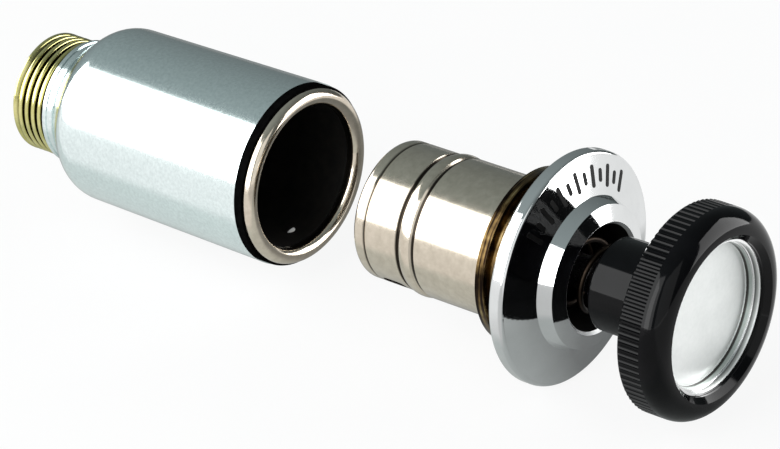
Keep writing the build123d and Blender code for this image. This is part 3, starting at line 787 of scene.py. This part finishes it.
tail_low_mm, tail_high_mm = (end / MM for end in axis_ends["threaded_tail"])
core_r_mm = tail_r_mm - valley_mm
bore_mm = tail_r_mm - tail_wall_mm
core = turned("tail_core", [
    (web_hole_mm, tail_low_mm),
    (core_r_mm, tail_low_mm),
    (core_r_mm, tail_high_mm - lip_mm - valley_mm),
    (tail_r_mm, tail_high_mm - lip_mm),
    (tail_r_mm, tail_high_mm - lip_mm / 2),
    (tail_r_mm - lip_mm / 2, tail_high_mm),
    (bore_mm + pocket_step_mm, tail_high_mm),
    (bore_mm + pocket_step_mm, tail_high_mm - pocket_depth_mm),
    (bore_mm, tail_high_mm - pocket_depth_mm),
    (bore_mm, tail_low_mm + tail_web_mm),
    (web_hole_mm, tail_low_mm + tail_web_mm),
], thread_brass)
thread_height_mm = tail_high_mm - tail_low_mm - 2 * ridge_mm
thread = bake_tree("tail_thread", helix_tree("rolled_thread", thread_brass), {
    "Radius": (tail_r_mm - ridge_mm) * MM,
    "Turns": thread_height_mm / thread_pitch_mm,
    "Height": thread_height_mm * MM,
    "Wire": ridge_mm * MM,
    "Start": (tail_low_mm + ridge_mm) * MM,
    "Steps": steps_per_turn,
})
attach(core, "socket")
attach(thread, "socket")
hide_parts("threaded_tail")

# %% [markdown]
# ## Return spring
# The spring stands on the guide bush and shortens when the knob is pushed in. It is made by the
# same helix tree.

# %% Make the spring
spring_turns = 6
spring_wire_mm = 0.9
spring_steps_per_turn = 48
spring_low, spring_high = axis_ends["return_spring"]
spring_length = spring_high - spring_low
spring = bake_tree("return_spring_wire", helix_tree("spring_wire", bronze), {
    "Radius": radius_of("return_spring") - spring_wire_mm / 2 * MM,
    "Turns": float(spring_turns),
    "Height": spring_length - spring_wire_mm * MM,
    "Wire": spring_wire_mm / 2 * MM,
    "Start": spring_low + spring_wire_mm / 2 * MM,
    "Steps": spring_steps_per_turn,
})
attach(spring, "plug")
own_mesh(spring)
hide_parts("return_spring")

# %% [markdown]
# ## Marks on the bezel
# The cone of the bezel carries black-filled marks over its upper arc. Here they are plain strokes,
# long and short by turns, as on a scale. One rounded bar is drawn as a curve, filled and raised, laid
# on the cone at the top, and repeated round the axis.

# %% One rounded bar
corner_share, corner_steps = 0.45, 4
weld_distance = 1e-6


def rounded_bar(tree, given):
    """A bar with round corners, filled, raised and closed below; gives its geometry socket."""
    outline = tree.nodes.new("GeometryNodeCurvePrimitiveQuadrilateral")
    tree.links.new(given.outputs["Width"], outline.inputs["Width"])
    tree.links.new(given.outputs["Length"], outline.inputs["Height"])
    rounded = tree.nodes.new("GeometryNodeFilletCurve")
    rounded.mode = "POLY"
    rounded.inputs["Count"].default_value = corner_steps
    tree.links.new(outline.outputs["Curve"], rounded.inputs["Curve"])
    corner = math_node(tree, "MULTIPLY", given.outputs["Width"], corner_share)
    tree.links.new(corner, rounded.inputs["Radius"])
    face = tree.nodes.new("GeometryNodeFillCurve")
    face.mode = "NGONS"
    tree.links.new(rounded.outputs["Curve"], face.inputs["Curve"])
    top = tree.nodes.new("GeometryNodeExtrudeMesh")
    tree.links.new(face.outputs["Mesh"], top.inputs["Mesh"])
    tree.links.new(given.outputs["Raise"], top.inputs["Offset Scale"])
    bottom = tree.nodes.new("GeometryNodeFlipFaces")
    tree.links.new(face.outputs["Mesh"], bottom.inputs["Mesh"])
    bar = tree.nodes.new("GeometryNodeJoinGeometry")
    tree.links.new(top.outputs["Mesh"], bar.inputs["Geometry"])
    tree.links.new(bottom.outputs["Mesh"], bar.inputs["Geometry"])
    closed = tree.nodes.new("GeometryNodeMergeByDistance")
    closed.inputs["Distance"].default_value = weld_distance
    tree.links.new(bar.outputs["Geometry"], closed.inputs["Geometry"])
    return closed.outputs["Geometry"]


# %% Bars round the cone
def stroke_tree(name, material):
    """Rounded bars on the bezel's cone, repeated round Y from a first angle in equal steps."""
    tree, given, made = new_tree(name, {
        "Length": 0.003, "Width": 0.0006, "Raise": 0.00014, "Reach": 0.0138, "Level": -0.0496,
        "Slope": 1.27, "First": -0.8, "Step": 0.13, "Count": 7,
    })
    lay = tree.nodes.new("GeometryNodeTransform")
    place = vector_of(tree, Y=given.outputs["Level"], Z=given.outputs["Reach"])
    tree.links.new(rounded_bar(tree, given), lay.inputs["Geometry"])
    tree.links.new(place, lay.inputs["Translation"])
    tree.links.new(vector_of(tree, X=given.outputs["Slope"]), lay.inputs["Rotation"])
    spots = tree.nodes.new("GeometryNodeMeshLine")
    spots.inputs["Offset"].default_value = (0, 0, 0)
    tree.links.new(given.outputs["Count"], spots.inputs["Count"])
    index = tree.nodes.new("GeometryNodeInputIndex").outputs["Index"]
    angle = math_node(tree, "MULTIPLY_ADD", index, given.outputs["Step"], given.outputs["First"])
    turn = tree.nodes.new("FunctionNodeEulerToRotation")
    tree.links.new(vector_of(tree, Y=angle), turn.inputs["Euler"])
    repeat = tree.nodes.new("GeometryNodeInstanceOnPoints")
    tree.links.new(spots.outputs["Mesh"], repeat.inputs["Points"])
    tree.links.new(lay.outputs["Geometry"], repeat.inputs["Instance"])
    tree.links.new(turn.outputs["Rotation"], repeat.inputs["Rotation"])
    finish_tree(tree, repeat.outputs["Instances"], made, material)
    return tree


# %% Make the strokes
cone_outer_mm = (16.25, -48.85)
cone_inner_mm = (11.05, -50.45)
stroke_sunk_mm = 0.1
stroke_raise_mm = 0.14
long_stroke_mm, short_stroke_mm, stroke_width_mm = 3.2, 1.9, 0.72
first_angle, last_angle, long_count = -50, 40, 7

cone_run = Vector(cone_outer_mm) - Vector(cone_inner_mm)
cone_slope = math.atan2(cone_run.x, cone_run.y)
cone_normal = Vector((cone_run.y, -cone_run.x)).normalized()
middle = (Vector(cone_outer_mm) + Vector(cone_inner_mm)) / 2 - stroke_sunk_mm * cone_normal
step_angle = (last_angle - first_angle) / (long_count - 1)
paint = plain_stuff("black_paint", (0.001, 0.001, 0.001), (0.003, 0.003, 0.003),
                    roughness=(0.3, 0.45), cloud_mm=1, bump_um=1, specular=0.1)
stroke_rule = stroke_tree("bezel_strokes", paint)
common = {"Width": stroke_width_mm * MM, "Raise": stroke_raise_mm * MM, "Reach": middle.x * MM,
          "Level": middle.y * MM, "Slope": cone_slope, "Step": math.radians(step_angle)}
long_strokes = bake_tree("bezel_long_strokes", stroke_rule, {
    **common, "Length": long_stroke_mm * MM, "First": math.radians(first_angle), "Count": long_count,
}, smooth=False)
short_strokes = bake_tree("bezel_short_strokes", stroke_rule, {
    **common, "Length": short_stroke_mm * MM, "First": math.radians(first_angle + step_angle / 2),
    "Count": long_count - 1,
}, smooth=False)
for strokes in (long_strokes, short_strokes):
    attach(strokes, "plug")
